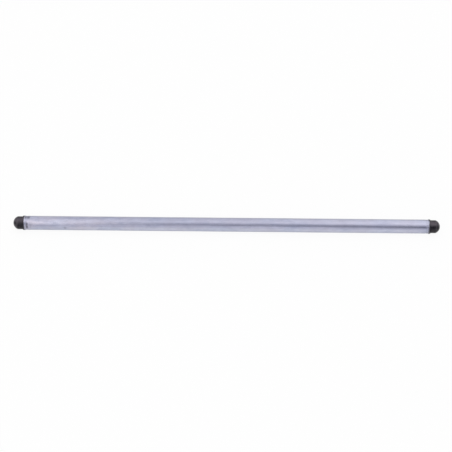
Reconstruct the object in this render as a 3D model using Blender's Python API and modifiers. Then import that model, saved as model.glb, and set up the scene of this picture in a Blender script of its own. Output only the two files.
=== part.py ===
"""Engine pushrod: a drawn aluminium tube with a hardened ball end pressed and crimped into each mouth.

Run it with blender --background --python part.py, or from the Text Editor.
Units are metres and +Z is up. The rod lies along X with its middle at the origin. The ball end that
sits in the tappet is at -X, and the one that carries the rocker arm is at +X. Every piece is turned:
its half section is drawn in the XY plane as points (x, r) and swept round X by a Screw modifier.
"""

import math

import bpy
from mathutils import Matrix, Vector

# Whole rod, from the top of one ball to the top of the other
OVERALL_LENGTH = 0.195

# Drawn tube
TUBE_DIAMETER = 0.00635
TUBE_WALL = 0.00124
MOUTH_CHAMFER = 0.0002

# Lip that the press raises on the soft tube where it bears on the ball end's shoulder
LIP_FLARE = 0.0002
LIP_BAND = 0.00015
LIP_RAMP = 0.0005
LIP_EDGE_RADIUS = 0.0001
LIP_ROOT_RADIUS = 0.0008

# Ring rolled into the tube past a plain land, to lock it in the groove of the ball end's shank
CRIMP_LAND = 0.0001
CRIMP_WIDTH = 0.0011
CRIMP_DEPTH = 0.00006
CRIMP_BEAD = 0.00012

# Mark in the ring at the tappet end, where the crimping blade bit deeper
MARK_WIDTH = 0.0011
MARK_REACH = 0.0034
MARK_DEPTH = 0.00012
MARK_TURN_DEG = 58.0

# Ball end outside the tube: part of a ball on a round head that is a little slimmer
BALL_DIAMETER = 0.00635
HEAD_RELIEF = 0.000215
HEAD_LENGTH = 0.003
BALL_EDGE_RADIUS = 0.0004

# Collar at the foot of the head, whose shoulder stops against the tube
COLLAR_WIDTH = 0.0005
COLLAR_RISE = 0.00034
COLLAR_EDGE_RADIUS = 0.0001

# Shank of the ball end, inside the tube
SHANK_LENGTH = 0.009
SHANK_CHAMFER_LENGTH = 0.0009
SHANK_CHAMFER_DEPTH = 0.00035
GROOVE_RAMP = 0.00015

# Room left between the tube and each ball end, on every face
FIT_GAP = 0.00005

# Fineness of the surfaces
TURN_STEPS = 48
BALL_STEPS = 12
FILLET_STEPS = 3
CRIMP_STEPS = 8
MERGE_DISTANCE = 0.000001
SHARP_EDGE_DEG = 32.0

# Colours, as linear values, and surface finish of the two metals
TUBE_COLOUR = (0.56, 0.56, 0.66)
TUBE_ROUGHNESS = 0.32
BALL_END_COLOUR = (0.045, 0.040, 0.045)
BALL_END_ROUGHNESS = 0.42

TUBE_RADIUS = TUBE_DIAMETER / 2
BORE_RADIUS = TUBE_RADIUS - TUBE_WALL
LIP_RADIUS = TUBE_RADIUS + LIP_FLARE
CRIMP_SETBACK = LIP_BAND + LIP_RAMP + CRIMP_LAND + CRIMP_WIDTH / 2
BALL_RADIUS = BALL_DIAMETER / 2
HEAD_RADIUS = BALL_RADIUS - HEAD_RELIEF
COLLAR_RADIUS = HEAD_RADIUS + COLLAR_RISE
SHANK_RADIUS = BORE_RADIUS - FIT_GAP
BALL_HEIGHT = BALL_RADIUS - math.sqrt(BALL_RADIUS**2 - HEAD_RADIUS**2)
NOSE_LENGTH = HEAD_LENGTH + BALL_HEIGHT
SHOULDER_X = OVERALL_LENGTH / 2 - NOSE_LENGTH
TUBE_END_X = SHOULDER_X - FIT_GAP


def clear_scene():
    """Remove every object, so that the script starts from an empty scene."""
    for obj in list(bpy.data.objects):
        bpy.data.objects.remove(obj, do_unlink=True)


def make_collection(name):
    collection = bpy.data.collections.new(name)
    bpy.context.scene.collection.children.link(collection)
    return collection


def metal(name, colour, roughness):
    """A Principled metal in one colour."""
    material = bpy.data.materials.new(name)
    material.use_nodes = True
    shader = material.node_tree.nodes["Principled BSDF"]
    shader.inputs["Base Color"].default_value = (*colour, 1.0)
    shader.inputs["Metallic"].default_value = 1.0
    shader.inputs["Roughness"].default_value = roughness
    return material


def bell(share):
    """A smooth bump: 1 in the middle, where share is 0, and 0 at both ends, where it is -1 and 1."""
    return (1 + math.cos(math.pi * share)) / 2


def arc(centre, radius, sweep, steps):
    """Points round a centre, from straight ahead along X and out towards +r."""
    points = []
    for i in range(steps + 1):
        angle = sweep * i / steps
        points.append(centre + radius * Vector((math.cos(angle), math.sin(angle))))
    return points


def fillet(before, corner, after, radius):
    """The arc that rounds a corner between two straight stretches and is tangent to both."""
    back = before - corner
    ahead = after - corner
    half_angle = back.angle(ahead) / 2
    reach = min(radius / math.tan(half_angle), back.length, ahead.length)
    start = corner + reach * back.normalized()
    bisector = (back.normalized() + ahead.normalized()).normalized()
    centre = corner + bisector * reach / math.cos(half_angle)
    turn = math.copysign(math.pi - 2 * half_angle, ahead.cross(back))
    points = []
    for i in range(FILLET_STEPS + 1):
        spin = Matrix.Rotation(turn * i / FILLET_STEPS, 2)
        points.append(centre + spin @ (start - centre))
    return points


def rolled_ring(wall_radius, depth):
    """Points on a wall that the crimp pushes in by depth, from the mouth's side to the middle's."""
    points = []
    for i in range(CRIMP_STEPS + 1):
        share = 2 * i / CRIMP_STEPS - 1
        x = TUBE_END_X - CRIMP_SETBACK - share * CRIMP_WIDTH / 2
        points.append(Vector((x, wall_radius - depth * bell(share))))
    return points


def tube_half_section():
    """Along the bore from the middle of the tube, over the lip and back along the outside."""
    bead = rolled_ring(BORE_RADIUS, CRIMP_BEAD)
    ring = rolled_ring(TUBE_RADIUS, CRIMP_DEPTH)
    mouth_bore = Vector((TUBE_END_X - MOUTH_CHAMFER, BORE_RADIUS))
    mouth_face = Vector((TUBE_END_X, BORE_RADIUS + MOUTH_CHAMFER))
    lip_edge = Vector((TUBE_END_X, LIP_RADIUS))
    lip_shoulder = Vector((TUBE_END_X - LIP_BAND, LIP_RADIUS))
    lip_root = Vector((TUBE_END_X - LIP_BAND - LIP_RAMP, TUBE_RADIUS))
    return [
        Vector((0.0, BORE_RADIUS)),
        *reversed(bead),
        mouth_bore,
        mouth_face,
        *fillet(mouth_face, lip_edge, lip_shoulder, LIP_EDGE_RADIUS),
        *fillet(lip_edge, lip_shoulder, lip_root, LIP_EDGE_RADIUS),
        *fillet(lip_shoulder, lip_root, ring[0], LIP_ROOT_RADIUS),
        *ring,
        Vector((0.0, TUBE_RADIUS)),
    ]


def ball_end_section():
    """From the top of the ball back along the outside to the shank's end. The shoulder is at x = 0."""
    ball_centre = Vector((NOSE_LENGTH - BALL_RADIUS, 0.0))
    edge_angle = math.asin(HEAD_RADIUS / BALL_RADIUS)
    edge_reach = BALL_EDGE_RADIUS * math.tan((math.pi / 2 - edge_angle) / 2)
    ball_sweep = edge_angle - 2 * edge_reach / BALL_RADIUS
    ball = arc(ball_centre, BALL_RADIUS, ball_sweep, BALL_STEPS)
    ball_edge = Vector((HEAD_LENGTH, HEAD_RADIUS))
    head_foot = Vector((COLLAR_WIDTH, HEAD_RADIUS))
    collar_front = Vector((COLLAR_WIDTH, COLLAR_RADIUS))
    collar_back = Vector((0.0, COLLAR_RADIUS))
    shank_top = Vector((0.0, SHANK_RADIUS))
    groove_middle = -FIT_GAP - CRIMP_SETBACK
    groove_front = groove_middle + CRIMP_WIDTH / 2 + FIT_GAP
    groove_back = groove_middle - CRIMP_WIDTH / 2 - FIT_GAP
    groove_radius = SHANK_RADIUS - CRIMP_BEAD
    return [
        *ball,
        *fillet(ball[-1], ball_edge, head_foot, BALL_EDGE_RADIUS),
        head_foot,
        *fillet(head_foot, collar_front, collar_back, COLLAR_EDGE_RADIUS),
        *fillet(collar_front, collar_back, shank_top, COLLAR_EDGE_RADIUS),
        shank_top,
        Vector((groove_front, SHANK_RADIUS)),
        Vector((groove_front - GROOVE_RAMP, groove_radius)),
        Vector((groove_back + GROOVE_RAMP, groove_radius)),
        Vector((groove_back, SHANK_RADIUS)),
        Vector((SHANK_CHAMFER_LENGTH - SHANK_LENGTH, SHANK_RADIUS)),
        Vector((-SHANK_LENGTH, SHANK_RADIUS - SHANK_CHAMFER_DEPTH)),
        Vector((-SHANK_LENGTH, 0.0)),
    ]


def turned_object(name, section, material, collection):
    """A half section of (x, r) points swept a full turn round X."""
    mesh = bpy.data.meshes.new(name)
    edges = [(i, i + 1) for i in range(len(section) - 1)]
    mesh.from_pydata([point.to_3d() for point in section], edges, [])
    mesh.materials.append(material)
    obj = bpy.data.objects.new(name, mesh)
    collection.objects.link(obj)
    screw = obj.modifiers.new("Turned", "SCREW")
    screw.axis = "X"
    screw.steps = TURN_STEPS
    screw.render_steps = TURN_STEPS
    screw.use_merge_vertices = True
    screw.merge_threshold = MERGE_DISTANCE
    return obj


def finish_mesh(obj):
    """Apply the modifiers, then shade the turned faces smooth and keep the machined corners sharp."""
    graph = bpy.context.evaluated_depsgraph_get()
    mesh = bpy.data.meshes.new_from_object(obj.evaluated_get(graph))
    mesh.name = obj.name
    mesh.shade_smooth()
    mesh.set_sharp_from_angle(angle=math.radians(SHARP_EDGE_DEG))
    obj.modifiers.clear()
    obj.data = mesh


def press_blade_mark(mesh):
    """Push the outer wall in where the blade bit, at MARK_TURN_DEG from the top towards -Y."""
    turn = math.radians(MARK_TURN_DEG)
    mark_x = CRIMP_SETBACK - TUBE_END_X
    for vertex in mesh.vertices:
        wall = vertex.co.yz
        if wall.length < TUBE_RADIUS - TUBE_WALL / 2:
            continue
        angle = math.atan2(-wall.x, wall.y) - turn
        along = (vertex.co.x - mark_x) / (MARK_WIDTH / 2)
        around = wall.length * angle / (MARK_REACH / 2)
        if max(abs(along), abs(around)) < 1:
            push = MARK_DEPTH * bell(along) * bell(around)
            vertex.co.yz = wall * (1 - push / wall.length)


def make_tube(material, collection):
    """The drawn tube: half of it is turned, the other half mirrors it, and the mark is pressed last."""
    tube = turned_object("rod_tube", tube_half_section(), material, collection)
    mirror = tube.modifiers.new("Other half", "MIRROR")
    mirror.merge_threshold = MERGE_DISTANCE
    finish_mesh(tube)
    press_blade_mark(tube.data)
    return tube


def make_ball_ends(material, collection):
    """The same turned ball end twice, with its shoulder against each end of the tube."""
    rocker_end = turned_object("rocker_ball_end", ball_end_section(), material, collection)
    finish_mesh(rocker_end)
    rocker_end.location.x = SHOULDER_X
    tappet_end = bpy.data.objects.new("tappet_ball_end", rocker_end.data)
    collection.objects.link(tappet_end)
    tappet_end.location.x = -SHOULDER_X
    tappet_end.rotation_euler.z = math.pi
    return [tappet_end, rocker_end]


def main():
    clear_scene()
    parts = make_collection("engine_pushrod")
    tube_metal = metal("drawn_aluminium", TUBE_COLOUR, TUBE_ROUGHNESS)
    ball_end_metal = metal("black_oxide_steel", BALL_END_COLOUR, BALL_END_ROUGHNESS)
    middle = bpy.data.objects.new("pushrod", None)
    parts.objects.link(middle)
    for piece in [make_tube(tube_metal, parts), *make_ball_ends(ball_end_metal, parts)]:
        piece.parent = middle


main()
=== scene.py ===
# %% [markdown]
# # Engine pushrod: how it looks
#
# A pushrod carries the cam's motion from a tappet up to a rocker arm. This one is a bright drawn
# aluminium tube with a black hardened steel ball end pressed into each mouth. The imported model
# already holds the sizes. This file gives each piece its true surface, its metal and its light,
# one step at a time.

import math
from collections import namedtuple

import bpy
import numpy as np
from mathutils import Matrix, Vector


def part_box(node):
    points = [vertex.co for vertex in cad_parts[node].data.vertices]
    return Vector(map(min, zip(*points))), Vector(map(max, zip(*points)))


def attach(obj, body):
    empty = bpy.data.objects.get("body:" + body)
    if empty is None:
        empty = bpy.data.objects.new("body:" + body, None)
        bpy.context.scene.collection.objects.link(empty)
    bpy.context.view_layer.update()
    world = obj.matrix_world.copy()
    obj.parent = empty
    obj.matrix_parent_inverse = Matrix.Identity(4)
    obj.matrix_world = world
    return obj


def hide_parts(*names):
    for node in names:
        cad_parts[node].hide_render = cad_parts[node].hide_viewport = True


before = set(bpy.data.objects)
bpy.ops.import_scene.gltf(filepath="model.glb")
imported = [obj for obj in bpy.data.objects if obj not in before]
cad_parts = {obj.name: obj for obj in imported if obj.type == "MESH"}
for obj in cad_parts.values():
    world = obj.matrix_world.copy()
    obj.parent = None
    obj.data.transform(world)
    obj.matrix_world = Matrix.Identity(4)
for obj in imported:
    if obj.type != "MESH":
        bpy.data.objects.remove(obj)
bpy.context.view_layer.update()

# %% [markdown]
# ## Sizes
#
# The outer sizes could be typed in again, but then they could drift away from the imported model.
# They are read from its boxes instead, so that the looks always fit the solids. Only the sizes that
# a box doesn't show, such as the wall of the tube, are named here.

# %% Read the outer sizes, name the rest
MM = 0.001

tube_low, tube_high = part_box("rod_tube")
ball_low, ball_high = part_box("rocker_ball_end")

TUBE_END_X = tube_high.x
LIP_RADIUS = tube_high.z
BALL_TOP_X = ball_high.x
SHANK_END_X = ball_low.x
COLLAR_RADIUS = ball_high.z

TUBE_RADIUS = 3.175 * MM
BORE_RADIUS = 1.935 * MM
BALL_RADIUS = 3.175 * MM
HEAD_RADIUS = 2.96 * MM
COLLAR_WIDTH = 0.5 * MM
FIT_GAP = 0.05 * MM
SHOULDER_X = TUBE_END_X + FIT_GAP
BALL_HEIGHT = BALL_RADIUS - math.sqrt(BALL_RADIUS**2 - HEAD_RADIUS**2)
CORNER_X = BALL_TOP_X - BALL_HEIGHT

head_length = CORNER_X - SHOULDER_X
print("tube end at", round(TUBE_END_X / MM, 3), "mm, head", round(head_length / MM, 3), "mm long")

# %% [markdown]
# ## Surfaces on a grid
#
# Both kinds of piece are turned, so each is a profile of points (x, r) carried round the rod. A
# Screw modifier would do it, but it makes the same profile all the way round, and a real rod has
# dents and an uneven lip. So each surface is a grid: one way runs along the profile, the other goes
# round, and any point may be pushed in by a formula of both. Turns are counted from the top towards
# the viewer, who stands on the -Y side.


# %% Three smooth curves that the formulas share
def bell(value, middle, reach):
    """A smooth bump: (1 + cos(pi s)) / 2 for s = (value - middle) / reach, and 0 past the reach."""
    share = np.clip((value - middle) / reach, -1, 1)
    return (1 + np.cos(np.pi * share)) / 2


def ease(value, start, length):
    """A smooth step: 3 s^2 - 2 s^3 for s = (value - start) / length, flat before and after."""
    share = np.clip((value - start) / length, 0, 1)
    return share * share * (3 - 2 * share)


def patch(value, middle, reach):
    """A flat-topped bump: 1 up to 0.4 of the reach either way, then an ease down to 0 at its end."""
    return 1 - ease(np.abs(value - middle) / reach, 0.4, 0.6)


heights = [float(round(curve(0.7, 0, 1), 3)) for curve in (bell, ease, patch)]
print("bell, ease and patch at 0.7 of the way:", heights)


# %% Points round the rod
def turned_points(x, r, turn):
    """A point at each x, at the distance r from the axis, turned from the top: (x, -r sin, r cos)."""
    x, r, turn = np.broadcast_arrays(x, r, turn)
    return np.stack([x, -r * np.sin(turn), r * np.cos(turn)], axis=-1)


def turns_round(count):
    """Even turns round the rod, as a row: 2 pi k / count."""
    return np.linspace(0, 2 * math.pi, count, endpoint=False)[None, :]


# %% From a grid of points to a mesh
def grid_quads(rows, columns, rows_close):
    """Each quad joins (i, j) to its neighbours (i, j+1), (i+1, j+1) and (i+1, j), round and round."""
    last = rows if rows_close else rows - 1
    i, j = np.meshgrid(np.arange(last), np.arange(columns), indexing="ij")
    i_next, j_next = (i + 1) % rows, (j + 1) % columns
    corners = [(i, j), (i, j_next), (i_next, j_next), (i_next, j)]
    return np.stack([a * columns + b for a, b in corners], axis=-1).reshape(-1, 4)


def make_piece(name, points, quads, triangles=()):
    """A mesh object from its points and faces, at the origin, with every face shaded smooth."""
    mesh = bpy.data.meshes.new(name)
    mesh.from_pydata(points.reshape(-1, 3), [], [*quads.tolist(), *triangles])
    mesh.validate()
    mesh.shade_smooth()
    piece = bpy.data.objects.new(name, mesh)
    bpy.context.scene.collection.objects.link(piece)
    print(name, "-", len(mesh.vertices), "points,", len(mesh.polygons), "faces")
    return piece


def point_places(piece):
    """The place of every point of a piece, one point to a row."""
    places = np.zeros(len(piece.data.vertices) * 3, np.float32)
    piece.data.vertices.foreach_get("co", places)
    return places.reshape(-1, 3)


def write_attribute(piece, name, values):
    """One number for each point of the mesh, which a material can read by its name."""
    attribute = piece.data.attributes.new(name, "FLOAT", "POINT")
    attribute.data.foreach_set("value", np.ravel(values).astype(np.float32))
    print(piece.name, name, "from", round(float(values.min()), 2), "to", round(float(values.max()), 2))


# %% [markdown]
# ## The tube
#
# The press swells the soft tube into a lip where it bears on the ball end's collar, and a roller
# then sinks a ring 1.3 mm from the mouth, which locks the ball end. The outside could be a plain
# cylinder with these drawn into its bump, but the lip shows in the outline. So it is in the profile:
# the radius is worked out from the depth, the distance in from the mouth.

# %% The wall as a function of the depth
LIP_BAND = 0.15 * MM
LIP_RAMP = 0.5 * MM
CRIMP_SETBACK = 1.3 * MM
CRIMP_WIDTH = 1.1 * MM
CRIMP_DEPTH = 0.06 * MM
CRIMP_BEAD = 0.12 * MM


def crimp(depth):
    """How far the ring is sunk, as a share: a bell as wide as the roller, round its setback."""
    return bell(depth, CRIMP_SETBACK, CRIMP_WIDTH / 2)


def outer_wall(depth):
    """The tube's radius, plus the lip that eases away along its ramp, minus the rolled ring."""
    lip = (LIP_RADIUS - TUBE_RADIUS) * (1 - ease(depth, LIP_BAND, LIP_RAMP))
    return TUBE_RADIUS + lip - CRIMP_DEPTH * crimp(depth)


def bore_wall(depth):
    """The bore's radius, minus the bead that the ring raises inside."""
    return BORE_RADIUS - CRIMP_BEAD * crimp(depth)


print("wall at the ring, mm:", round((outer_wall(CRIMP_SETBACK) - bore_wall(CRIMP_SETBACK)) / MM, 3))

# %% The profile from the middle of the outside, over the lip and back along the bore
LIP_EDGE = 0.1 * MM
MOUTH_CHAMFER = 0.2 * MM
FINE_REACH = 5 * MM
FINE_STEP = 0.09 * MM
COARSE_POINTS = 96
EDGE_POINTS = 6
FACE_POINTS = 4
FACE_SHARE = 0.7
BEAD_REACH = 3.2 * MM
BEAD_STEP = 0.2 * MM
PAST_SHANK = 9.5 * MM


def tube_half_profile():
    """Depths, radii and how much the outside's dents count: fine steps at the mouth, 1 mm beyond."""
    fine = np.arange(LIP_EDGE, FINE_REACH, FINE_STEP)
    coarse = np.linspace(FINE_REACH, TUBE_END_X, COARSE_POINTS)
    outside = np.concatenate([fine, coarse])[::-1]
    corner = np.linspace(0, math.pi / 2, EDGE_POINTS + 1)[1:]
    corner_depth = LIP_EDGE * (1 - np.sin(corner))
    corner_radius = LIP_RADIUS - LIP_EDGE * (1 - np.cos(corner))
    face_radius = np.linspace(corner_radius[-1], BORE_RADIUS + MOUTH_CHAMFER, FACE_POINTS + 1)[1:]
    bead = np.arange(MOUTH_CHAMFER, BEAD_REACH, BEAD_STEP)
    inside = np.concatenate([bead, [PAST_SHANK, TUBE_END_X]])
    depth = np.concatenate([outside, corner_depth, np.zeros(FACE_POINTS), inside])
    radius = np.concatenate([outer_wall(outside), corner_radius, face_radius, bore_wall(inside)])
    full_share = np.ones(len(outside) + EDGE_POINTS)
    outer_share = np.concatenate([full_share, np.linspace(FACE_SHARE, 0, FACE_POINTS), 0 * inside])
    return depth, radius, outer_share


depth, radius, outer_share = tube_half_profile()
profile_x = np.concatenate([TUBE_END_X - depth, depth[-2:0:-1] - TUBE_END_X])
profile_r = np.concatenate([radius, radius[-2:0:-1]])
profile_share = np.concatenate([outer_share, outer_share[-2:0:-1]])
print("profile points of the tube:", len(profile_x))

# %% [markdown]
# ## Marks of making and handling
#
# The rod isn't perfect. The crimping blade bit once into the ring at the tappet end, two small
# bruises lie further in, the tube has a few scuffs about 20 mm from that end, and smears of dirt lie
# round both mouths. Each one is a bump along the rod times a bump round it. The same places push the
# surface in and darken it, because a dent holds dirt, so the shape and the colour always lie on top
# of each other. A smear has no depth and only darkens.

# %% Where the marks are
# The turn is in degrees, the length runs along the rod, the reach goes round it, the darkening is 0 to 1
Mark = namedtuple("Mark", "x turn length reach depth dirt")

BLADE_BITE = Mark(1.45 * MM - TUBE_END_X, 57, 1.35 * MM, 4.5 * MM, 0.12 * MM, 0.6)
BRUISES = [
    Mark(2.1 * MM - TUBE_END_X, -18, 1.6 * MM, 2.4 * MM, 0.04 * MM, 0.4),
    Mark(3.2 * MM - TUBE_END_X, 52, 1.3 * MM, 1.1 * MM, 0.03 * MM, 0.22),
]
DEEP_SCUFFS = [
    Mark(-73.7 * MM, 75, 0.9 * MM, 1.2 * MM, 0.03 * MM, 0.45),
    Mark(-73.0 * MM, 12, 1.8 * MM, 0.9 * MM, 0.02 * MM, 0.22),
    Mark(-72.3 * MM, 46, 1.2 * MM, 0.9 * MM, 0.02 * MM, 0.25),
]
TAPPET_SMEARS = [
    Mark(2.9 * MM - TUBE_END_X, 37, 3.6 * MM, 1.9 * MM, 0.0, 0.15),
    Mark(2.6 * MM - TUBE_END_X, 74, 2.6 * MM, 1.8 * MM, 0.0, 0.12),
    Mark(0.45 * MM - TUBE_END_X, -17, 1.7 * MM, 2.4 * MM, 0.0, 0.42),
    Mark(1.3 * MM - TUBE_END_X, -36, 4.2 * MM, 2.9 * MM, 0.0, 0.36),
]
ROCKER_SMEARS = [
    Mark(TUBE_END_X - 1.5 * MM, -42, 4.6 * MM, 2.8 * MM, 0.0, 0.24),
    Mark(TUBE_END_X - 6.5 * MM, -38, 9.5 * MM, 1.6 * MM, 0.0, 0.14),
    Mark(TUBE_END_X - 1.6 * MM, 92, 5.4 * MM, 2.8 * MM, 0.0, 0.13),
]
MARKS = [BLADE_BITE, *BRUISES, *DEEP_SCUFFS, *TAPPET_SMEARS, *ROCKER_SMEARS]
print("marks on the tube:", len(MARKS))


# %% How much of a mark reaches a point
def degrees_from(turn, middle):
    """How many degrees a point lies round from a middle turn, between -180 and 180."""
    return (np.degrees(turn) - middle + 180) % 360 - 180


def mark_share(x, turn, mark):
    """patch of the distance along, out to half the length, times patch of the distance round."""
    round_off = np.radians(degrees_from(turn, mark.turn)) * TUBE_RADIUS
    return patch(x, mark.x, mark.length / 2) * patch(round_off, 0, mark.reach / 2)


def by_end(x, tappet, rocker):
    """One value at the tappet end, where x is negative, and another at the rocker end."""
    return np.where(x < 0, tappet, rocker)


# %% [markdown]
# A lip that a press has swollen is never even, and the one at the rocker end swelled less than the
# other. The die also left the tube a little out of round. Random bumps would do, but slow waves of
# the turn and of x close up after a full turn, and stay the same each time.


# %% The waves of the wall
def lip_waves(turn, end):
    """How uneven the swollen lip is, from 0 to 1: waves that rise 2, 5 and 9 times round, summed."""
    waves = np.sin(2 * turn + 1.1 * end) + 0.7 * np.sin(5 * turn + 2.3 * end) + 0.5 * np.sin(9 * turn)
    return 0.5 + waves / 4.4


def slow_waves(x, turn):
    """How the die left the tube a little out of round, from -1 to 1: three slow slanting waves."""
    first = np.sin(5 * turn + 2 * math.pi * x / (37 * MM))
    second = np.sin(7 * turn - 2 * math.pi * x / (21 * MM) + 1.3)
    third = np.sin(4 * turn + 2 * math.pi * x / (12 * MM) + 0.4)
    return (first + 0.8 * second + 0.6 * third) / 2.4


# %% Push the wall in, and make the tube
TUBE_TURNS = 160
LIP_UNEVEN = 0.045 * MM
LIP_UNEVEN_REACH = 1.1 * MM
LIP_SETTLED = 0.08 * MM
LIP_SETTLED_PLACE = 0.45 * MM
OUT_OF_ROUND = 0.012 * MM
OUT_OF_ROUND_FROM = 6 * MM

turn = turns_round(TUBE_TURNS)
x = profile_x[:, None]
end = np.sign(x)
mouth_depth = TUBE_END_X - np.abs(x)
pushed = sum(mark.depth * mark_share(x, turn, mark) for mark in MARKS)
pushed = pushed + LIP_UNEVEN * lip_waves(turn, end) * (1 - ease(mouth_depth, 0, LIP_UNEVEN_REACH))
settled = bell(mouth_depth, LIP_SETTLED_PLACE, LIP_SETTLED_PLACE)
pushed = pushed + by_end(x, 0.0, LIP_SETTLED) * settled
pushed = pushed + OUT_OF_ROUND * slow_waves(x, turn) * ease(mouth_depth, 0, OUT_OF_ROUND_FROM)
tube_radii = profile_r[:, None] - profile_share[:, None] * pushed
tube_points = turned_points(x, tube_radii, turn)

tube = make_piece("drawn_tube", tube_points, grid_quads(len(profile_x), TUBE_TURNS, rows_close=True))
tube.data.set_sharp_from_angle(angle=math.radians(40))
print("deepest mark, mm:", round(pushed.max() / MM, 3))

# %% [markdown]
# ## Dirt, rubbing and painted shade on the tube
#
# Dirt gathers where a cloth can't reach: in the marks, in the rolled ring and in the crack between
# the lip and the black collar. In the crack a thin share of dirt runs all round, and painted shade
# darkens it much more on the lower front and along the upper edge; painted shade also lies on the
# lower front by each mouth. The crest of the lip is what a hand rubs bright, painted shade darkens
# the lower side near each end, and the third of the rod by the tappet was handled most. All of these
# could be found in the material by comparing neighbouring normals, but numbers stored in the mesh are
# surer.


# %% Bumps round the rod, in degrees
def bell_round(turn, middle, reach):
    """bell of the degrees from the middle turn."""
    return bell(degrees_from(turn, middle), 0, reach)


def patch_round(turn, middle, reach):
    """patch of the degrees from the middle turn."""
    return patch(degrees_from(turn, middle), 0, reach)


# %% Store the dirt and the painted shade at each point
CRACK_REACH = 0.35 * MM
CRACK_THINNEST = 0.28
LOW_MOUTH_SHADE_REACH = 1.5 * MM
RING_DIRT = 0.14

marked = sum(mark.dirt * mark_share(x, turn, mark) for mark in MARKS)
# Painted shade: the crack keeps a thin share of dirt all round, and is darkened much more on the lower
# front and along the upper edge, where the lip's shoulder lies in shade
low_front_shade = by_end(x, patch_round(turn, 88, 84), patch_round(turn, 64, 76))
upper_edge_shade = by_end(x, 1.0, 0.5) * patch_round(turn, -50, 42)
crack_dirt_and_shade_share = CRACK_THINNEST + (1 - CRACK_THINNEST) * np.maximum(low_front_shade, upper_edge_shade)
crack_start = by_end(x, 0.05 * MM, 0.26 * MM)
crack_dirt_and_shade = (1 - ease(mouth_depth, crack_start, CRACK_REACH)) * crack_dirt_and_shade_share
crack_dirt_and_shade = crack_dirt_and_shade * (0.85 + 0.3 * lip_waves(turn + 0.8, end))
# Painted shade on the lower front by each mouth, where the lip's rounded shoulder lies in shade
low_mouth_shade = by_end(x, 0.3, 0.24) * bell(mouth_depth, 0, LOW_MOUTH_SHADE_REACH) * patch_round(turn, 92, 64)
ring_dirt = RING_DIRT * crimp(mouth_depth) * (0.4 + 0.6 * lip_waves(2 * turn, end))
dirt = profile_share[:, None] * (marked + crack_dirt_and_shade + low_mouth_shade + ring_dirt)
write_attribute(tube, "dirt", np.clip(dirt, 0, 1))

# %% Store the rubbed crest, the painted shade low down and the handling
CREST_PLACE = 0.22 * MM
CREST_REACH = 0.35 * MM
TAPPET_SHADE_LENGTH = 26 * MM
ROCKER_SHADE_LENGTH = 14 * MM
ROCKER_SHADE_SHARE = 0.7
HANDLED_FULLY_X = -70 * MM
HANDLED_RAMP = 40 * MM

crest = bell(mouth_depth, CREST_PLACE, CREST_REACH) * lip_waves(turn + 2.0, end)
still_soiled = by_end(x, 0.0, 0.75) * patch_round(turn, 40, 36)
write_attribute(tube, "rubbed", profile_share[:, None] * crest * (1 - still_soiled))

# Painted shade: the lower side darkens near each end, where the metal mirrors the sheet in the rod's own
# shadow
tappet_low_shade = bell(mouth_depth, 0, TAPPET_SHADE_LENGTH) * bell_round(turn, 82, 66)
rocker_low_shade = bell(mouth_depth, 0, ROCKER_SHADE_LENGTH) * bell_round(turn, 60, 38)
tone_and_painted_light = by_end(x, tappet_low_shade, ROCKER_SHADE_SHARE * rocker_low_shade)
write_attribute(tube, "tone_and_painted_light", profile_share[:, None] * tone_and_painted_light)

handled = 1 - ease(x, HANDLED_FULLY_X, HANDLED_RAMP)
write_attribute(tube, "handled", handled + 0 * turn)

# %% [markdown]
# ## The ball ends
#
# Each ball end is turned from steel bar in one piece: part of a ball, a round head that is a little
# slimmer, a thin collar whose shoulder stops against the tube, and a shank with a groove for the
# crimp. Its corners are rounded arcs, because a lathe tool and the hardening bath leave none sharp.
# The profile starts and ends on the axis, where one point closes the surface.

# %% Rounded corners and the arc of the ball
ARC_STOPS_SHORT = 0.07
MOST_OF_A_RUN = 0.45


def rounded(points, radii, steps):
    """Replaces each inner corner by an arc: a quadratic curve between the two tangent points."""
    points = np.array(points, float)
    blend = np.linspace(0, 1, steps)[:, None]
    runs = [points[:1]]
    for before, corner, after, size in zip(points, points[1:], points[2:], radii):
        start = corner + (before - corner) * min(size / np.linalg.norm(before - corner), MOST_OF_A_RUN)
        end = corner + (after - corner) * min(size / np.linalg.norm(after - corner), MOST_OF_A_RUN)
        runs.append((1 - blend) ** 2 * start + 2 * blend * (1 - blend) * corner + blend**2 * end)
    runs.append(points[-1:])
    return np.concatenate(runs)


def ball_arc(steps):
    """Points (x, r) on the ball, from its top until it meets the rounded corner of the head."""
    edge_angle = math.asin(HEAD_RADIUS / BALL_RADIUS)
    angle = np.linspace(0, edge_angle - ARC_STOPS_SHORT, steps)
    centre = BALL_TOP_X - BALL_RADIUS
    return np.stack([centre + BALL_RADIUS * np.cos(angle), BALL_RADIUS * np.sin(angle)], axis=1)


# %% The profile of a ball end, from the top of the ball to the end of the shank
SHANK_RADIUS = BORE_RADIUS - FIT_GAP
HEAD_CORNER = 0.2 * MM
HEAD_FOOT = 0.12 * MM
COLLAR_EDGE = 0.1 * MM
SHANK_CORNER = 0.06 * MM
GROOVE_SLOPE = 0.15 * MM
SHANK_TAPER = 0.9 * MM
SHANK_TAPER_DEPTH = 0.35 * MM
BALL_STEPS = 40
CORNER_STEPS = 6


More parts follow.
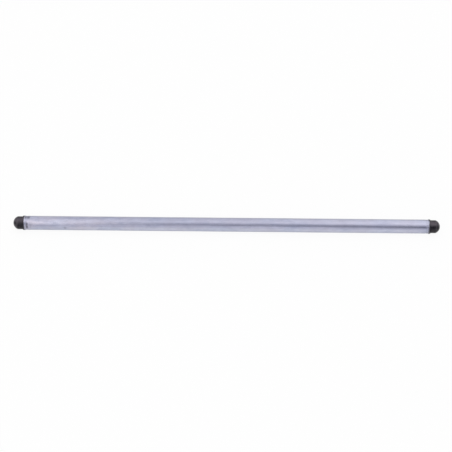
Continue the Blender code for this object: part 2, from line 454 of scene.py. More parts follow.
def ball_end_profile():
    """The ball, the head, the collar and the grooved shank, with every corner rounded."""
    groove_x = TUBE_END_X - CRIMP_SETBACK
    half = CRIMP_WIDTH / 2 + FIT_GAP
    floor = SHANK_RADIUS - CRIMP_BEAD
    ball = ball_arc(BALL_STEPS)
    head_corners = [
        (CORNER_X, HEAD_RADIUS),
        (SHOULDER_X + COLLAR_WIDTH, HEAD_RADIUS),
        (SHOULDER_X + COLLAR_WIDTH, COLLAR_RADIUS),
        (SHOULDER_X, COLLAR_RADIUS),
    ]
    shank_corners = [
        (SHOULDER_X, SHANK_RADIUS),
        (groove_x + half, SHANK_RADIUS),
        (groove_x + half - GROOVE_SLOPE, floor),
        (groove_x - half + GROOVE_SLOPE, floor),
        (groove_x - half, SHANK_RADIUS),
        (SHANK_END_X + SHANK_TAPER, SHANK_RADIUS),
        (SHANK_END_X, SHANK_RADIUS - SHANK_TAPER_DEPTH),
    ]
    corners = [ball[-1], *head_corners, *shank_corners, (SHANK_END_X, 0.0)]
    head_radii = [HEAD_CORNER, HEAD_FOOT, COLLAR_EDGE, COLLAR_EDGE]
    shank_radii = [SHANK_CORNER] * len(shank_corners)
    below_ball = rounded(corners, head_radii + shank_radii, CORNER_STEPS)
    return np.concatenate([ball[:-1], below_ball])


profile = ball_end_profile()
print("profile points of a ball end:", len(profile))

# %% Carry the profile round, and close both poles with a fan
BALL_TURNS = 144
LONGEST_STEP = 0.35 * MM


def split_long_runs(profile, longest):
    """Adds points on straight stretches, so that no step along the profile is longer than that."""
    runs = []
    for start, end in zip(profile, profile[1:]):
        count = max(1, math.ceil(np.linalg.norm(end - start) / longest))
        runs.append(start + (end - start) * (np.arange(count) / count)[:, None])
    return np.concatenate([*runs, profile[-1:]])


def make_ball_end(name, side):
    """The profile carried round the rod at +X, or at -X after half a turn about Z."""
    px, pr = split_long_runs(profile, LONGEST_STEP).T
    ring = turned_points(px[1:-1, None], pr[1:-1, None], turns_round(BALL_TURNS))
    rows, columns = ring.shape[:2]
    points = np.concatenate([ring.reshape(-1, 3), [[px[0], 0, 0], [px[-1], 0, 0]]])
    points[:, :2] *= side
    quads = grid_quads(rows, columns, rows_close=False)[:, ::-1]
    k = np.arange(columns)
    k_next = (k + 1) % columns
    top, bottom = rows * columns, rows * columns + 1
    last = (rows - 1) * columns
    top_fan = np.stack([k, k_next, np.full(columns, top)], axis=1)
    bottom_fan = np.stack([last + k_next, last + k, np.full(columns, bottom)], axis=1)
    piece = make_piece(name, points, quads, [*top_fan.tolist(), *bottom_fan.tolist()])
    piece.data.set_sharp_from_angle(angle=math.radians(50))
    return piece


rocker_tip = make_ball_end("rocker_ball_tip", 1)
tappet_tip = make_ball_end("tappet_ball_tip", -1)


# %% [markdown]
# A surface whose corners run the wrong way round has its inside out, and then it takes no light.
# Two measures tell. The volume that the faces enclose is a sum of small pyramids from the origin,
# and it comes out negative when the faces look inwards. And where two neighbours agree, one walks
# along their shared edge in one direction and the other comes back, so no walk comes up twice.


# %% Check that every face looks outwards
def triangle_corners(mesh):
    """The three point numbers of each triangle of the mesh, one triangle to a row."""
    mesh.calc_loop_triangles()
    corners = np.zeros(len(mesh.loop_triangles) * 3, np.int32)
    mesh.loop_triangles.foreach_get("vertices", corners)
    return corners.reshape(-1, 3)


def enclosed_volume(piece):
    """A sixth of the sum of a . (b x c) over the corners a, b, c of every triangle."""
    places = point_places(piece).astype(float)
    a, b, c = places[triangle_corners(piece.data)].transpose(1, 0, 2)
    return float((a * np.cross(b, c)).sum() / 6)


def clashing_edges(mesh):
    """How many walks from one corner to the next come up more than once."""
    starts = triangle_corners(mesh).astype(np.int64)
    walks = starts * len(mesh.vertices) + np.roll(starts, -1, axis=1)
    return walks.size - np.unique(walks).size


for piece in (tube, rocker_tip, tappet_tip):
    if enclosed_volume(piece) < 0:
        piece.data.flip_normals()
    volume = round(enclosed_volume(piece) / MM**3, 1)
    print(piece.name, "encloses", volume, "cubic mm, clashing edges:", clashing_edges(piece.data))

# %% [markdown]
# ## Painted highlight on the oxide
#
# Black oxide is a thin bath finish over the hardened steel. A brown, lighter share is painted over
# the upper side as a painted highlight, and low on the tappet ball's front as a painted reflection;
# beside them it stays black, and it rubs thin on the corner between ball and head. Like the dirt on
# the tube, these are numbers at each point.

# %% Store the painted highlight, the painted reflection and the thin corner of each ball end
HIGHLIGHT_AT_POLE = 0.1
POLE_REACH = 1.5 * MM
BELOW_STARTS = 0.2 * MM
BELOW_RAMP = 1.0 * MM
FLANK_FADE = 0.6 * MM
THIN_REACH = 0.32 * MM


def store_highlight_and_wear(piece, turned, reach, low_reflection_share):
    """The brown painted highlight: a bell over the top, and a painted reflection low on the ball. thin:
    a bell over the corner.

    Round the pole every turn meets, so there the painted highlight eases to one even share. flank is 1
    where the metal runs along the rod and eases away on the ball, which no lengthwise scuff reaches.
    """
    px, py, pz = point_places(piece).T
    out = np.abs(px)
    turn = np.arctan2(-py, pz)
    # Painted highlight over the top, and a painted reflection low on the tappet ball's front
    upper = bell_round(turn, turned, reach)
    on_ball = ease(out, CORNER_X - BELOW_STARTS, BELOW_RAMP)
    low_front_reflection = low_reflection_share * on_ball * bell_round(turn, 76, 46)
    off_pole = ease(np.hypot(py, pz), 0, POLE_REACH)
    brown_highlight = HIGHLIGHT_AT_POLE + off_pole * (np.maximum(upper, low_front_reflection) - HIGHLIGHT_AT_POLE)
    write_attribute(piece, "brown_highlight", brown_highlight)
    write_attribute(piece, "flank", 1 - ease(out, CORNER_X, FLANK_FADE))
    write_attribute(piece, "thin", bell(out, CORNER_X, THIN_REACH))


store_highlight_and_wear(rocker_tip, turned=2, reach=44, low_reflection_share=0.1)
store_highlight_and_wear(tappet_tip, turned=-2, reach=43, low_reflection_share=1.0)

# %% [markdown]
# ## Effects that both metals share
#
# Each effect is a shader node group with named inputs, built once and placed in both metals with
# its own values. They read Object coordinates, which are metres on the real part, so a line that is
# set to 0.2 mm stays 0.2 mm wide.


# %% Helpers to build node trees
def new_group(name, inputs, output_name):
    """An empty node group with its inputs, given as (name, kind, default), and one number out."""
    group = bpy.data.node_groups.new(name, "ShaderNodeTree")
    for socket_name, kind, default in inputs:
        socket = group.interface.new_socket(socket_name, in_out="INPUT", socket_type=kind)
        if default is not None:
            socket.default_value = default
    group.interface.new_socket(output_name, in_out="OUTPUT", socket_type="NodeSocketFloat")
    put = group.nodes.new("NodeGroupOutput").inputs[output_name]
    return group, group.nodes.new("NodeGroupInput").outputs, put


def add(tree, kind, settings=None, **inputs):
    """A node with its settings. An input is another node's output, or a plain value."""
    node = tree.nodes.new(kind)
    for key, value in (settings or {}).items():
        setattr(node, key, value)
    for key, value in inputs.items():
        socket = node.inputs[int(key[1:])] if key[1:].isdigit() else node.inputs[key.replace("_", " ")]
        if isinstance(value, bpy.types.NodeSocket):
            tree.links.new(value, socket)
        else:
            socket.default_value = value
    return node


def maths(tree, operation, a, b=0.0, c=0.0, clamp=False):
    """One sum on two or three numbers, such as MULTIPLY or ADD."""
    settings = {"operation": operation, "use_clamp": clamp}
    return add(tree, "ShaderNodeMath", settings, i0=a, i1=b, i2=c).outputs[0]


def mixed(tree, share, a, b):
    """A colour between a, where share is 0, and b, where share is 1."""
    node = add(tree, "ShaderNodeMix", {"data_type": "RGBA"}, i0=share, i6=a, i7=b)
    return node.outputs[2]


def stretched(tree, position, along, across):
    """The position times (along, across, across), so that a pattern on it runs along the rod."""
    factors = add(tree, "ShaderNodeCombineXYZ", X=along, Y=across, Z=across).outputs[0]
    product = {"operation": "MULTIPLY"}
    return add(tree, "ShaderNodeVectorMath", product, i0=position, i1=factors).outputs[0]


# %% Fine lines, along the tube or round a turned piece
lines_group, given, put = new_group(
    "Fine lines",
    [
        ("Position", "NodeSocketVector", None),
        ("Waves along", "NodeSocketFloat", 20.0),
        ("Waves across", "NodeSocketFloat", 2000.0),
        ("Detail", "NodeSocketFloat", 3.0),
    ],
    "Lines",
)
noise = add(
    lines_group,
    "ShaderNodeTexNoise",
    Vector=stretched(lines_group, given["Position"], given["Waves along"], given["Waves across"]),
    Scale=1.0,
    Detail=given["Detail"],
    Roughness=0.6,
)
spread = add(lines_group, "ShaderNodeMapRange", Value=noise.outputs[0], From_Min=0.3, From_Max=0.7)
lines_group.links.new(spread.outputs[0], put)

# %% Soft blotches of tone, stretched along the rod
blotches_group, given, put = new_group(
    "Blotches",
    [
        ("Position", "NodeSocketVector", None),
        ("Size", "NodeSocketFloat", 0.003),
        ("Stretch", "NodeSocketFloat", 4.0),
        ("Seed", "NodeSocketFloat", 0.0),
    ],
    "Blotches",
)
per_metre = maths(blotches_group, "DIVIDE", 1.0, given["Size"])
along = maths(blotches_group, "DIVIDE", per_metre, given["Stretch"])
noise = add(
    blotches_group,
    "ShaderNodeTexNoise",
    {"noise_dimensions": "4D"},
    Vector=stretched(blotches_group, given["Position"], along, per_metre),
    W=given["Seed"],
    Scale=1.0,
    Detail=2.0,
    Roughness=0.55,
)
spread = add(
    blotches_group,
    "ShaderNodeMapRange",
    {"interpolation_type": "SMOOTHSTEP"},
    Value=noise.outputs[0],
    From_Min=0.32,
    From_Max=0.68,
)
blotches_group.links.new(spread.outputs[0], put)

# %% [markdown]
# Two smaller effects sit on every used part: specks, which are pits and dust, and scuffs, which are
# hair-thin scratches. Specks come from a Voronoi texture, whose distance to the nearest cell centre
# is under a set size only in a small dot. A cell's random colour decides whether it has a dot.
# Scuffs are the thin line where a stretched noise crosses its middle value, kept only in some
# patches. They lean a few degrees: the noise is twisted about the rod, 25 radians in a metre, and
# not tilted, so that a scuff stays on the round surface instead of cutting through it.

# %% Specks
specks_group, given, put = new_group(
    "Specks",
    [
        ("Position", "NodeSocketVector", None),
        ("Spacing", "NodeSocketFloat", 0.001),
        ("Radius", "NodeSocketFloat", 0.2),
        ("Share", "NodeSocketFloat", 0.3),
    ],
    "Specks",
)
per_metre = maths(specks_group, "DIVIDE", 1.0, given["Spacing"])
cells = add(specks_group, "ShaderNodeTexVoronoi", Vector=given["Position"], Scale=per_metre)
split = add(specks_group, "ShaderNodeSeparateColor", i0=cells.outputs["Color"])
kept = maths(specks_group, "LESS_THAN", split.outputs[0], given["Share"])
own_radius = maths(specks_group, "MULTIPLY_ADD", split.outputs[1], 0.7, 0.3)
reach = maths(specks_group, "MULTIPLY", own_radius, given["Radius"])
near = maths(specks_group, "DIVIDE", cells.outputs["Distance"], reach)
dot = maths(specks_group, "SUBTRACT", 1.0, near, clamp=True)
specks_group.links.new(maths(specks_group, "MULTIPLY", dot, kept), put)

# %% Scuffs
scuffs_group, given, put = new_group(
    "Scuffs",
    [
        ("Position", "NodeSocketVector", None),
        ("Waves along", "NodeSocketFloat", 120.0),
        ("Waves across", "NodeSocketFloat", 700.0),
        ("Width", "NodeSocketFloat", 0.02),
        ("Twist", "NodeSocketFloat", 25.0),
    ],
    "Scuffs",
)
x_place = add(scuffs_group, "ShaderNodeSeparateXYZ", Vector=given["Position"]).outputs["X"]
leaning = add(
    scuffs_group,
    "ShaderNodeVectorRotate",
    {"rotation_type": "X_AXIS"},
    Vector=given["Position"],
    Angle=maths(scuffs_group, "MULTIPLY", x_place, given["Twist"]),
)
place = stretched(scuffs_group, leaning.outputs[0], given["Waves along"], given["Waves across"])
noise = add(scuffs_group, "ShaderNodeTexNoise", Vector=place, Scale=1.0, Detail=0.0)
off_middle = maths(scuffs_group, "ABSOLUTE", maths(scuffs_group, "SUBTRACT", noise.outputs[0], 0.5))
widths_off = maths(scuffs_group, "DIVIDE", off_middle, given["Width"])
hair = maths(scuffs_group, "SUBTRACT", 1.0, widths_off, clamp=True)
patches = add(scuffs_group, "ShaderNodeTexNoise", Vector=given["Position"], Scale=160.0, Detail=1.0)
some = add(scuffs_group, "ShaderNodeMapRange", Value=patches.outputs[0], From_Min=0.5, From_Max=0.62)
scuffs_group.links.new(maths(scuffs_group, "MULTIPLY", hair, some.outputs[0]), put)
print("shared effects:", [group.name for group in bpy.data.node_groups])

# %% [markdown]
# ## Drawn aluminium
#
# The tube was pulled through a die, which leaves fine lines along it, some broad and soft, some as
# thin as a hair. Handling adds a faint mottle between a warmer and a bluer grey, a few specks and
# scuffs. The metal itself is a plain Principled shader with Metallic at 1, less where dirt and painted
# shade lie on it. The lines change its colour, its roughness and its bump together, so that they
# catch the light as one thing.


# %% A material with its shader, its coordinates and a quick way to place a shared effect
def bare_material(name):
    """A material with nothing in it but the surface socket of its output."""
    material = bpy.data.materials.new(name)
    material.use_nodes = True
    tree = material.node_tree
    tree.nodes.clear()
    return material, tree, tree.nodes.new("ShaderNodeOutputMaterial").inputs["Surface"]


def new_metal(name):
    """A material with a Principled shader, and the Object coordinates that feed it."""
    material, tree, surface = bare_material(name)
    shader = tree.nodes.new("ShaderNodeBsdfPrincipled")
    tree.links.new(shader.outputs[0], surface)
    position = tree.nodes.new("ShaderNodeTexCoord").outputs["Object"]
    return material, tree, shader.inputs, position


def effect(tree, group, position, **values):
    """Places a shared effect and gives its one output."""
    node = tree.nodes.new("ShaderNodeGroup")
    node.node_tree = group
    tree.links.new(position, node.inputs["Position"])
    for key, value in values.items():
        node.inputs[key.replace("_", " ")].default_value = value
    return node.outputs[0]


def stored(tree, name):
    """The number that the mesh holds under this name."""
    return add(tree, "ShaderNodeAttribute", {"attribute_name": name}).outputs["Fac"]


def weighed(tree, *layers):
    """The sum of the layers, each given as (value, weight): value times weight, one by one."""
    total = 0.0
    for value, weight in layers:
        total = maths(tree, "MULTIPLY_ADD", value, weight, total)
    return total


# %% The patterns on the tube
aluminium, tree, shader, position = new_metal("Drawn aluminium")
broad = effect(tree, lines_group, position, Waves_along=22.0, Waves_across=1300.0, Detail=2.0)
fine = effect(tree, lines_group, position, Waves_along=60.0, Waves_across=6500.0, Detail=3.0)
mottle = effect(tree, blotches_group, position, Size=1.4 * MM, Stretch=2.2, Seed=1.0)
cloud = effect(tree, blotches_group, position, Size=3.0 * MM, Stretch=3.0, Seed=9.0)
warmth = effect(tree, blotches_group, position, Size=4.5 * MM, Stretch=2.5, Seed=4.0)
grain = effect(tree, blotches_group, position, Size=0.5 * MM, Stretch=1.2, Seed=3.0)
specks = effect(tree, specks_group, position, Spacing=1.3 * MM, Radius=0.16, Share=0.35)
scuffs = effect(tree, scuffs_group, position, Waves_along=12.0, Waves_across=1700.0, Width=0.02)
handled = stored(tree, "handled")
print("patterns on the tube:", sum(node.type == "GROUP" for node in tree.nodes))

# %% Its tone, from dull to bright: the weights add up to 1, and handling widens the contrast
tone = weighed(tree, (mottle, 0.30), (broad, 0.30), (cloud, 0.28), (fine, 0.12))
contrast = maths(tree, "MULTIPLY_ADD", handled, 0.7, 1.0)
tone = maths(tree, "MULTIPLY_ADD", maths(tree, "SUBTRACT", tone, 0.5), contrast, 0.5)
grain_share = maths(tree, "MULTIPLY_ADD", handled, 0.22, 0.06)
tone = maths(tree, "MULTIPLY_ADD", maths(tree, "SUBTRACT", grain, 0.5), grain_share, tone)
# Painted shade low down near each end takes the tone down
tone = maths(tree, "MULTIPLY_ADD", stored(tree, "tone_and_painted_light"), -0.7, tone, clamp=True)
print("aluminium: tone nodes placed")

# %% Its colour: the bare metal, then the warm patches, the dirt with its painted shade and the rubbed crest over it
ALUMINIUM_BRIGHT = (0.632, 0.650, 0.800, 1.0)
ALUMINIUM_DULL = (0.436, 0.455, 0.600, 1.0)
ALUMINIUM_WARM = (0.620, 0.570, 0.665, 1.0)
ALUMINIUM_RUBBED = (0.720, 0.710, 0.800, 1.0)
DIRT_AND_SHADE_COLOUR = (0.030, 0.027, 0.038, 1.0)
EDGE_TINT = (0.65, 0.65, 0.65, 1.0)

colour = mixed(tree, tone, ALUMINIUM_DULL, ALUMINIUM_BRIGHT)
warm_share = maths(tree, "MULTIPLY", warmth, maths(tree, "MULTIPLY_ADD", handled, 0.28, 0.3))
colour = mixed(tree, warm_share, colour, ALUMINIUM_WARM)
# The stored share holds real dirt and the painted shade of the crack and of the lower front by each
# mouth
uneven_dirt_and_shade = maths(tree, "MULTIPLY_ADD", grain, 0.28, 0.8)
dirt = maths(tree, "MULTIPLY", stored(tree, "dirt"), uneven_dirt_and_shade)
soiled_and_shaded = maths(tree, "ADD", dirt, weighed(tree, (scuffs, 0.18), (specks, 0.45)), clamp=True)
colour = mixed(tree, soiled_and_shaded, colour, DIRT_AND_SHADE_COLOUR)
colour = mixed(tree, maths(tree, "MULTIPLY", stored(tree, "rubbed"), 0.5), colour, ALUMINIUM_RUBBED)
tree.links.new(colour, shader["Base Color"])
shader["Specular Tint"].default_value = EDGE_TINT
shader["Specular IOR Level"].default_value = 0.25
print("aluminium: colour nodes placed")

# %% Its roughness and bump
roughness = maths(tree, "MULTIPLY_ADD", fine, 0.12, 0.27)
roughness = maths(tree, "MULTIPLY_ADD", broad, -0.05, roughness)
roughness = maths(tree, "MULTIPLY_ADD", soiled_and_shaded, 0.30, roughness)
tree.links.new(roughness, shader["Roughness"])
shine = maths(tree, "MULTIPLY_ADD", soiled_and_shaded, -0.75, 1.0)
tree.links.new(shine, shader["Metallic"])

height = weighed(tree, (broad, 0.65), (fine, 0.35))
height = maths(tree, "SUBTRACT", height, maths(tree, "MULTIPLY_ADD", specks, 0.8, scuffs))
bump = add(tree, "ShaderNodeBump", Strength=0.5, Distance=0.012 * MM, Height=height)
tree.links.new(bump.outputs[0], shader["Normal"])
tube.data.materials.append(aluminium)
print("aluminium:", len(tree.nodes), "nodes")

# %% [markdown]
# ## Black oxide steel
#
# The ball ends are almost black, but not flat black: the bath leaves a cloudy, slightly purple brown
# film, with a painted highlight of the same brown on top, and the lathe's fine rings show through it.
# The rings are the same fine lines as on the tube, with the fast direction along the rod instead of
# across it, so they run round the ball.

# %% The steel of the ball ends
OXIDE_BLACK = (0.020, 0.020, 0.022, 1.0)
OXIDE_BROWN_AND_HIGHLIGHT = (0.112, 0.098, 0.114, 1.0)
STEEL_SHOWING = (0.180, 0.170, 0.175, 1.0)
PIT_BLACK = (0.015, 0.014, 0.015, 1.0)

steel, tree, shader, position = new_metal("Black oxide steel")
rings = effect(tree, lines_group, position, Waves_along=7000.0, Waves_across=260.0, Detail=2.0)
cloud = effect(tree, blotches_group, position, Size=1.5 * MM, Stretch=1.0, Seed=7.0)
grain = effect(tree, blotches_group, position, Size=0.45 * MM, Stretch=1.0, Seed=2.0)
specks = effect(tree, specks_group, position, Spacing=0.9 * MM, Radius=0.2, Share=0.3)
scuffs = effect(tree, scuffs_group, position, Waves_along=45.0, Waves_across=2400.0, Width=0.03)
scuffs = maths(tree, "MULTIPLY", scuffs, stored(tree, "flank"))

tone_and_painted_light = weighed(tree, (grain, 0.14), (cloud, 0.22))
# The stored brown share is the painted highlight on top and the painted reflection low on the tappet's
# ball; the grain and cloud are the oxide's own mottle
tone_and_painted_light = maths(tree, "MULTIPLY_ADD", stored(tree, "brown_highlight"), 0.78, tone_and_painted_light, clamp=True)
colour = mixed(tree, tone_and_painted_light, OXIDE_BLACK, OXIDE_BROWN_AND_HIGHLIGHT)
worn = maths(tree, "MULTIPLY", stored(tree, "thin"), maths(tree, "MULTIPLY_ADD", cloud, 0.3, 0.16))
worn = maths(tree, "MULTIPLY_ADD", scuffs, 0.3, worn, clamp=True)
colour = mixed(tree, worn, colour, STEEL_SHOWING)
colour = mixed(tree, maths(tree, "MULTIPLY", specks, 0.5), colour, PIT_BLACK)
tree.links.new(colour, shader["Base Color"])
shader["Metallic"].default_value = 1.0
print("steel: colour nodes placed")

# %% Its roughness and bump
roughness = maths(tree, "MULTIPLY_ADD", rings, 0.08, 0.24)
roughness = maths(tree, "MULTIPLY_ADD", cloud, 0.08, roughness)
tree.links.new(roughness, shader["Roughness"])
height = weighed(tree, (grain, 0.5), (rings, 0.7))
height = maths(tree, "SUBTRACT", height, maths(tree, "MULTIPLY_ADD", specks, 0.8, scuffs))
bump = add(tree, "ShaderNodeBump", Strength=0.45, Distance=0.01 * MM, Height=height)
tree.links.new(bump.outputs[0], shader["Normal"])
for piece in (rocker_tip, tappet_tip):
    piece.data.materials.append(steel)
print("metals:", [material.name for material in (aluminium, steel)])

# %% [markdown]
# ## Fix the pieces to the imported model
#
# Nothing on this rod moves, so all three pieces ride the one body. Each stands for its CAD node,
# which is then hidden.

# %% Ride and replace
for piece, node, slot in (
    (tube, "rod_tube", "drawn_aluminium"),
    (tappet_tip, "tappet_ball_end", "black_oxide_steel"),
    (rocker_tip, "rocker_ball_end", "black_oxide_steel"),
):
    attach(piece, "root")
    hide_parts(node)
    print(piece.name, "stands for", node)

# %% [markdown]
# ## The floor
#
# The rod lies on a plain white sheet. A painted sheet in real light is never quite white, so what
# the camera and the metal see of it is mostly its own even glow, with a strength of 1 for white. A
# small diffuse share stays, and that is what keeps the rod's soft shadow on it. The metal also sees
# that the sheet lies in the rod's own shade just behind it, which draws a faint line along the
# upper edge.


# %% A wide flat sheet under the lips of the tube
def stage_surface(name, points):
    """A stage piece: each quad joins (i, j) to (i+1, j), (i+1, j+1) and (i, j+1), up to the edges."""
    rows, columns = points.shape[:2]
    i, j = np.meshgrid(np.arange(rows - 1), np.arange(columns - 1), indexing="ij")
    first = i * columns + j
    quads = np.stack([first, first + columns, first + columns + 1, first + 1], axis=-1)
    piece = make_piece(name, points, quads.reshape(-1, 4))
    return piece


FLOOR_HALF = 4.0
FLOOR_Z = tube_low.z - 0.02 * MM
edges = np.array([-FLOOR_HALF, FLOOR_HALF])
fx, fy = np.meshgrid(edges, edges, indexing="ij")
floor = stage_surface("floor", np.stack([fx, fy, 0 * fx + FLOOR_Z], axis=-1))

# %% What the camera and the metal see of the sheet
WHITE = (1.0, 1.0, 1.0, 1.0)
FLOOR_IN_METAL = 0.95
FLOOR_TINT_IN_METAL = (0.985, 1.0, 0.975, 1.0)
SHADE_BEHIND = 0.08
SHADE_STARTS_Y = 1 * MM
SHADE_FULL_Y = 6 * MM


def seen_plainly(tree):
    """Two masks: 1 on all that is seen straight, in a metal or through glass, and 1 in a metal."""
    path = tree.nodes.new("ShaderNodeLightPath").outputs
    seen = maths(tree, "MAXIMUM", path["Is Camera Ray"], path["Is Glossy Ray"])
    seen = maths(tree, "MAXIMUM", seen, path["Is Transmission Ray"])
    return seen, path["Is Glossy Ray"]


sheet, tree, surface = bare_material("White sheet")
seen, in_metal = seen_plainly(tree)
position = tree.nodes.new("ShaderNodeTexCoord").outputs["Object"]
y_place = add(tree, "ShaderNodeSeparateXYZ", Vector=position).outputs["Y"]
shaded = {"From_Min": SHADE_STARTS_Y, "From_Max": SHADE_FULL_Y}
behind = add(tree, "ShaderNodeMapRange", Value=y_place, **shaded)
shade = maths(tree, "MULTIPLY_ADD", behind.outputs[0], SHADE_BEHIND, 1 - FLOOR_IN_METAL)
level = maths(tree, "SUBTRACT", 1.0, maths(tree, "MULTIPLY", shade, in_metal))
tint = mixed(tree, in_metal, WHITE, FLOOR_TINT_IN_METAL)
print("the metal sees the sheet at", FLOOR_IN_METAL, "and just behind it", FLOOR_IN_METAL - SHADE_BEHIND)

# %% The sheet's own glow and its small diffuse share
FLOOR_DIFFUSE_SHARE = 0.07
PAPER = (0.9, 0.9, 0.9, 1.0)

paper = add(tree, "ShaderNodeBsdfDiffuse", Color=PAPER)
glow = add(tree, "ShaderNodeEmission", Color=tint, Strength=level)
glow_share = maths(tree, "MULTIPLY", seen, 1 - FLOOR_DIFFUSE_SHARE)
both = add(tree, "ShaderNodeMixShader", i0=glow_share, i1=paper.outputs[0], i2=glow.outputs[0])
tree.links.new(both.outputs[0], surface)
floor.data.materials.append(sheet)
print("the sheet keeps", FLOOR_DIFFUSE_SHARE, "of real light for the shadow")

# %% [markdown]
# ## The light
#
# A polished rod is a mirror: what it shows is the room. In the photo its upper half shows a bright
# wall, a dark line runs along it just below the middle, where the camera's side of the room is
# reflected, and towards the left end that line fades and sinks while a soft glow takes its place.
# So the room is modelled as a light tent: half a tube of white cloth round the rod, whose glow is a
# formula of the height round it, in degrees, and of the place along it, from the middle of the rod.
# Only reflections see it. Well past the ends of the rod the dark line fades away, because only a
# ball seen from the side mirrors that part, and there it would look like a hole in the ball.

# %% The dark line of the tent
LINE_RISE = 55
SINKS_AT_LEFT = 35
SINKS_AT_RIGHT = 12
REACH_ABOVE = 48.0
REACH_BELOW = 36.0
LINE_DARKNESS = 0.57
DARKER_IN_MIDDLE = 0.06
DARKER_AT_RIGHT = 0.20
LOST_AT_LEFT = 0.75
LINE_FADES_FROM = 150 * MM
LINE_FADE = 200 * MM


def dark_line(rise, station, left, right):
    """How dark the camera's side is: a bell round its rise, wider above than below.

    left and right say how far a station is towards that end, from 0 to 1. The line sinks towards
    both, is nearly lost at the left, darkens in the middle and once more at the right.
    """
    middle_rise = LINE_RISE - SINKS_AT_LEFT * left - SINKS_AT_RIGHT * right
    reach = np.where(rise > middle_rise, REACH_ABOVE, REACH_BELOW)
    dark = LINE_DARKNESS + DARKER_IN_MIDDLE * ease(station, -60 * MM, 90 * MM)
    dark = dark + DARKER_AT_RIGHT * ease(station, 40 * MM, 45 * MM)
    dark = dark * (1 - ease(np.abs(station), LINE_FADES_FROM, LINE_FADE)) * (1 - LOST_AT_LEFT * left)
    return dark * bell(rise, middle_rise, reach)


# %% The bright wall of the tent
WALL_AT_FRONT = 0.80
WALL_ABOVE = 0.28
DIMMED_PAST_RIGHT = 0.32
DIMMED_PAST_LEFT = 0.6


def bright_wall(rise, station, right):
    """Brightens from the front upwards, then dims at the back and, high up, over the left half.

    right says how far a station is towards the right end, where the wall stays bright.
    """
    front = WALL_AT_FRONT + WALL_ABOVE * ease(rise, 0, 95)
    left_dimmed = 0.1 * (1 - ease(station, 0, 50 * MM)) + 0.11 * bell(station, -42 * MM, 48 * MM)
    upper = 1 - left_dimmed * ease(rise, 50, 45)
    behind = (0.12 - 0.12 * right) * ease(rise, 95, 55)
    low_behind = (0.06 - 0.04 * right) * ease(rise, 150, 20)
    return front * upper * (1 - behind - low_behind) + 0.08 * right * bell(rise, 105, 40)


def tent_glow(rise, station):
    """The bright wall, less the dark line, plus a soft bell at the left, dimmed past both ends.

    rise is the height round the rod in degrees, 0 at the front and 180 at the back.
    station is the place on the rod, in metres, whose mirror image falls there.
    """
    left = 1 - ease(station, -80 * MM, 34 * MM)
    right = ease(station, 45 * MM, 45 * MM)
    wall = bright_wall(rise, station, right) * (1 - dark_line(rise, station, left, right))
    soft_glow = 0.35 * (1 - ease(station, -86 * MM, 36 * MM)) * bell(rise, 66, 58)
    past_right = 1 - DIMMED_PAST_RIGHT * ease(station, 110 * MM, 300 * MM)
    past_left = 1 - DIMMED_PAST_LEFT * (1 - ease(station, -1500 * MM, 700 * MM))
    return (wall + soft_glow) * past_right * past_left


# %% The tent itself
CAMERA_DISTANCE = 0.5473
TENT_RADIUS = 0.35
TENT_WIDEST = 83.5
TENT_LOWEST = -4
TENT_GRID = (95, 169)

rise = np.linspace(TENT_LOWEST, 180 - TENT_LOWEST, TENT_GRID[0])[:, None]
seen_at = np.radians(np.linspace(-TENT_WIDEST, TENT_WIDEST, TENT_GRID[1]))[None, :]
along = TENT_RADIUS * np.tan(seen_at)
station = along / (1 + TENT_RADIUS / CAMERA_DISTANCE)
angle = np.radians(rise)
forward, upward = -TENT_RADIUS * np.cos(angle), TENT_RADIUS * np.sin(angle)
tent = stage_surface("light_tent", np.stack(np.broadcast_arrays(along, forward, upward), axis=-1))
rosy = (1 - ease(station, -70 * MM, 30 * MM)) * bell(rise, 66, 50)
write_attribute(tent, "glow", tent_glow(rise, station))
write_attribute(tent, "rosy", rosy)

# %% Its cloth: bluer where it is dim, a little rosier where the soft glow is at the left end
CLOTH_DIM = (0.88, 0.92, 1.12, 1.0)
CLOTH_ROSY = (1.01, 0.985, 0.96, 1.0)

cloth, tree, surface = bare_material("Tent cloth")
level = stored(tree, "glow")
shade = mixed(tree, level, CLOTH_DIM, WHITE)
shade = mixed(tree, stored(tree, "rosy"), shade, CLOTH_ROSY)
shine = add(tree, "ShaderNodeEmission", Color=shade, Strength=level)
tree.links.new(shine.outputs[0], surface)
tent.data.materials.append(cloth)
tent.visible_camera = False
tent.visible_diffuse = False
tent.visible_transmission = False
tent.visible_shadow = False
print("the tent shows in reflections:", tent.visible_glossy)

# %% [markdown]
# The world fills in evenly, and two large soft lamps give the light a direction, so that the rod
# has a soft shadow on the sheet. Their level is plain: together they light a white card to white
# and no further. The metal would show them as hard rectangles, so they stay out of reflections,
# which is what the tent is for.

# %% The world
WORLD_FILL = 0.7

world = bpy.data.worlds.new("Studio")
bpy.context.scene.world = world
world.use_nodes = True
tree = world.node_tree
tree.nodes.clear()
seen, _ = seen_plainly(tree)
level = maths(tree, "MULTIPLY_ADD", seen, 1 - WORLD_FILL, WORLD_FILL)
sky = add(tree, "ShaderNodeBackground", Color=WHITE, Strength=level)
output = tree.nodes.new("ShaderNodeOutputWorld")
tree.links.new(sky.outputs[0], output.inputs["Surface"])
print("the world fills in with", WORLD_FILL, "of white")


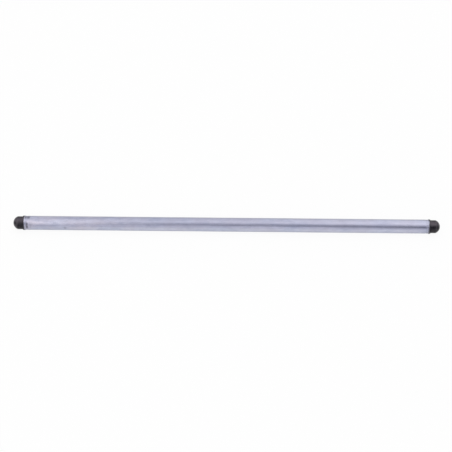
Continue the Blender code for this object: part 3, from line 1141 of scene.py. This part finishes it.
# %% Two soft lamps
def soft_lamp(name, place, size, watts):
    """A square area lamp at a place, turned to the middle of the rod."""
    light = bpy.data.lights.new(name, "AREA")
    light.size = size
    light.energy = watts
    lamp = bpy.data.objects.new(name, light)
    bpy.context.scene.collection.objects.link(lamp)
    lamp.location = place
    lamp.rotation_euler = (-Vector(place)).to_track_quat("-Z", "Y").to_euler()
    lamp.visible_glossy = False
    print(name, "is", round(Vector(place).length, 2), "m away")


soft_lamp("overhead_lamp", place=(0.1, 0.3, 1.1), size=0.9, watts=3.6)
soft_lamp("front_lamp", place=(-0.5, -0.7, 0.8), size=0.7, watts=1.8)

# %% [markdown]
# ## The camera
#
# The ends of the tube bulge outwards by about one pixel in the photo, so the camera stood about
# 0.55 m away and this is a perspective view. It looks down at 60 degrees, the rod lies across the
# frame with its right end half a degree lower, and its middle is a little above the centre. Seen
# from so near, the round tops of the balls also stand out a trifle further than they are.

# %% Place the camera from what was measured in the photo
PHOTO_WIDTH = 452
ROD_PIXELS = 426.5
ROD_CENTRE_PX = (226.65, 224.7)
ROD_TILT = 0.55
CAMERA_RISE = 60.0
NEARNESS_GAIN = 1.0006
SENSOR_WIDTH = 36.0

pixel = 2 * BALL_TOP_X * NEARNESS_GAIN / ROD_PIXELS
rise_angle = math.radians(CAMERA_RISE)
back = Vector((0.0, -math.cos(rise_angle), math.sin(rise_angle)))
roll = Matrix.Rotation(math.radians(ROD_TILT), 3, back)
right = roll @ Vector((1.0, 0.0, 0.0))
up = back.cross(right)
half = PHOTO_WIDTH / 2
aside = (half - ROD_CENTRE_PX[0]) * right + (ROD_CENTRE_PX[1] - half) * up

lens = bpy.data.cameras.new("camera")
lens.sensor_width = SENSOR_WIDTH
lens.lens = SENSOR_WIDTH * CAMERA_DISTANCE / (PHOTO_WIDTH * pixel)
lens.clip_start = 0.02
camera = bpy.data.objects.new("camera", lens)
bpy.context.scene.collection.objects.link(camera)
turned = Matrix((right, up, back)).transposed().to_4x4()
camera.matrix_world = Matrix.Translation(CAMERA_DISTANCE * back + pixel * aside) @ turned
bpy.context.scene.camera = camera
bpy.context.scene.view_settings.view_transform = "Standard"
print("lens", round(lens.lens, 1), "mm, one pixel is", round(pixel / MM, 4), "mm at the rod")
